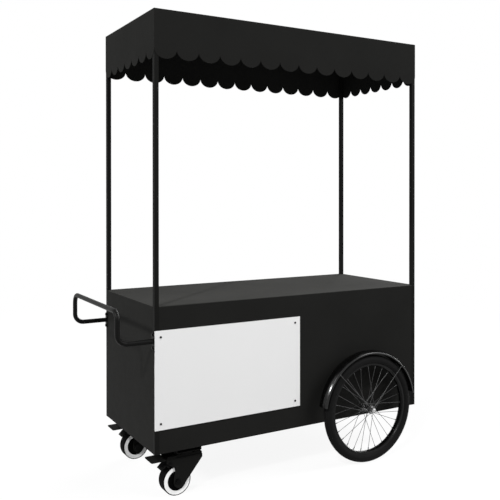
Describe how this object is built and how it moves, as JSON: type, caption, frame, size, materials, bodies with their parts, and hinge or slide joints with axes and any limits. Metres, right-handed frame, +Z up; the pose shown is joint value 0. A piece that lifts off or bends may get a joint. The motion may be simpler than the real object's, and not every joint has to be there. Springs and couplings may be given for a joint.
{
  "type": "vending cart",
  "caption": "Wheeled vending cart: sheet cabinet with counter, sign board, push handle, spoked wheels with mudguards, braked swivel casters and a flat scalloped canopy on posts.",
  "frame": {"origin": "on the ground, at the middle of the cart's overall footprint", "axes": "+Z up; +X along the cart from the handle towards the spoked wheels; -Y towards the customers' side that carries the sign board"},
  "size_m": [1.564, 0.8166, 2.005],
  "materials": {
    "panel_paint": "satin black powder coat",
    "counter_paint": "satin black powder coat",
    "canopy_paint": "satin black powder coat",
    "frame_paint": "satin black powder coat",
    "handle_paint": "smooth satin black",
    "fender_paint": "gloss black",
    "sign_white": "satin white sheet",
    "dark_fasteners": "blackened steel",
    "zinc_steel": "bright zinc plate",
    "stay_steel": "drawn steel wire",
    "spoke_steel": "drawn stainless wire",
    "hub_alloy": "turned alloy",
    "bearing_steel": "ground steel",
    "rim_black": "gloss black",
    "tyre_rubber": "matte black rubber",
    "caster_paint": "satin black",
    "caster_tread": "matte black rubber",
    "caster_white": "white moulded plastic",
    "caster_guard": "matte black plastic"
  },
  "bodies": {
    "cart": {"axle": "zinc_steel", "axle_brackets": "frame_paint", "axle_nuts": "zinc_steel", "back_skirt": "panel_paint", "base_rail_back": "frame_paint", "base_rail_front": "frame_paint", "base_rail_left": "frame_paint", "base_rail_right": "frame_paint", "canopy_rail_back": "frame_paint", "canopy_rail_front": "frame_paint", "canopy_rail_left": "frame_paint", "canopy_rail_right": "frame_paint", "canopy_top": "canopy_paint", "caster_beam": "frame_paint", "caster_bolts": "dark_fasteners", "caster_plates": "caster_paint", "counter_top": "counter_paint", "fender_back": "fender_paint", "fender_front": "fender_paint", "fender_stays": "stay_steel", "floor_deck": "panel_paint", "front_panel": "panel_paint", "handle": "handle_paint", "handle_bolts": "dark_fasteners", "left_end_panel": "panel_paint", "post_back_left": "frame_paint", "post_back_right": "frame_paint", "post_front_left": "frame_paint", "post_front_right": "frame_paint", "right_end_panel": "panel_paint", "shelf": "panel_paint", "sign_panel": "sign_white", "sign_screws": "dark_fasteners", "valance_back": "canopy_paint", "valance_front": "canopy_paint", "valance_left": "canopy_paint", "valance_right": "canopy_paint"},
    "wheel_front": {"tyre_front": "tyre_rubber", "rim_front": "rim_black", "spokes_front": "spoke_steel", "hub_front": "hub_alloy", "bearings_front": "bearing_steel"},
    "wheel_back": {"tyre_back": "tyre_rubber", "rim_back": "rim_black", "spokes_back": "spoke_steel", "hub_back": "hub_alloy", "bearings_back": "bearing_steel"},
    "caster_front": {"caster_front_fork": "caster_paint", "caster_front_pins": "dark_fasteners"},
    "caster_wheel_front": {"caster_front_tyre": "caster_tread", "caster_front_rim": "caster_white", "caster_front_guards": "caster_guard"},
    "brake_front": {"caster_front_pedal": "caster_paint"},
    "caster_rear": {"caster_rear_fork": "caster_paint", "caster_rear_pins": "dark_fasteners"},
    "caster_wheel_rear": {"caster_rear_tyre": "caster_tread", "caster_rear_rim": "caster_white", "caster_rear_guards": "caster_guard"},
    "brake_rear": {"caster_rear_pedal": "caster_paint"}
  },
  "joints": [
    {"name": "wheel_front_roll", "type": "hinge", "parent": "cart", "child": "wheel_front", "pos_m": [0.431, -0.362, 0.25], "axis": [0, 1, 0], "continuous": true},
    {"name": "wheel_back_roll", "type": "hinge", "parent": "cart", "child": "wheel_back", "pos_m": [0.431, 0.362, 0.25], "axis": [0, 1, 0], "continuous": true},
    {"name": "caster_front_swivel", "type": "hinge", "parent": "cart", "child": "caster_front", "pos_m": [-0.459, -0.236, 0.17], "axis": [0, 0, 1], "continuous": true},
    {"name": "caster_front_roll", "type": "hinge", "parent": "caster_front", "child": "caster_wheel_front", "pos_m": [-0.503, -0.236, 0.0625], "axis": [0, 1, 0], "continuous": true},
    {"name": "brake_front_press", "type": "hinge", "parent": "caster_front", "child": "brake_front", "pos_m": [-0.536, -0.236, 0.143], "axis": [0, -1, 0], "range_deg": [0, 15]},
    {"name": "caster_rear_swivel", "type": "hinge", "parent": "cart", "child": "caster_rear", "pos_m": [-0.459, 0.236, 0.17], "axis": [0, 0, 1], "continuous": true},
    {"name": "caster_rear_roll", "type": "hinge", "parent": "caster_rear", "child": "caster_wheel_rear", "pos_m": [-0.503, 0.236, 0.0625], "axis": [0, 1, 0], "continuous": true},
    {"name": "brake_rear_press", "type": "hinge", "parent": "caster_rear", "child": "brake_rear", "pos_m": [-0.536, 0.236, 0.143], "axis": [0, -1, 0], "range_deg": [0, 15]}
  ]
}
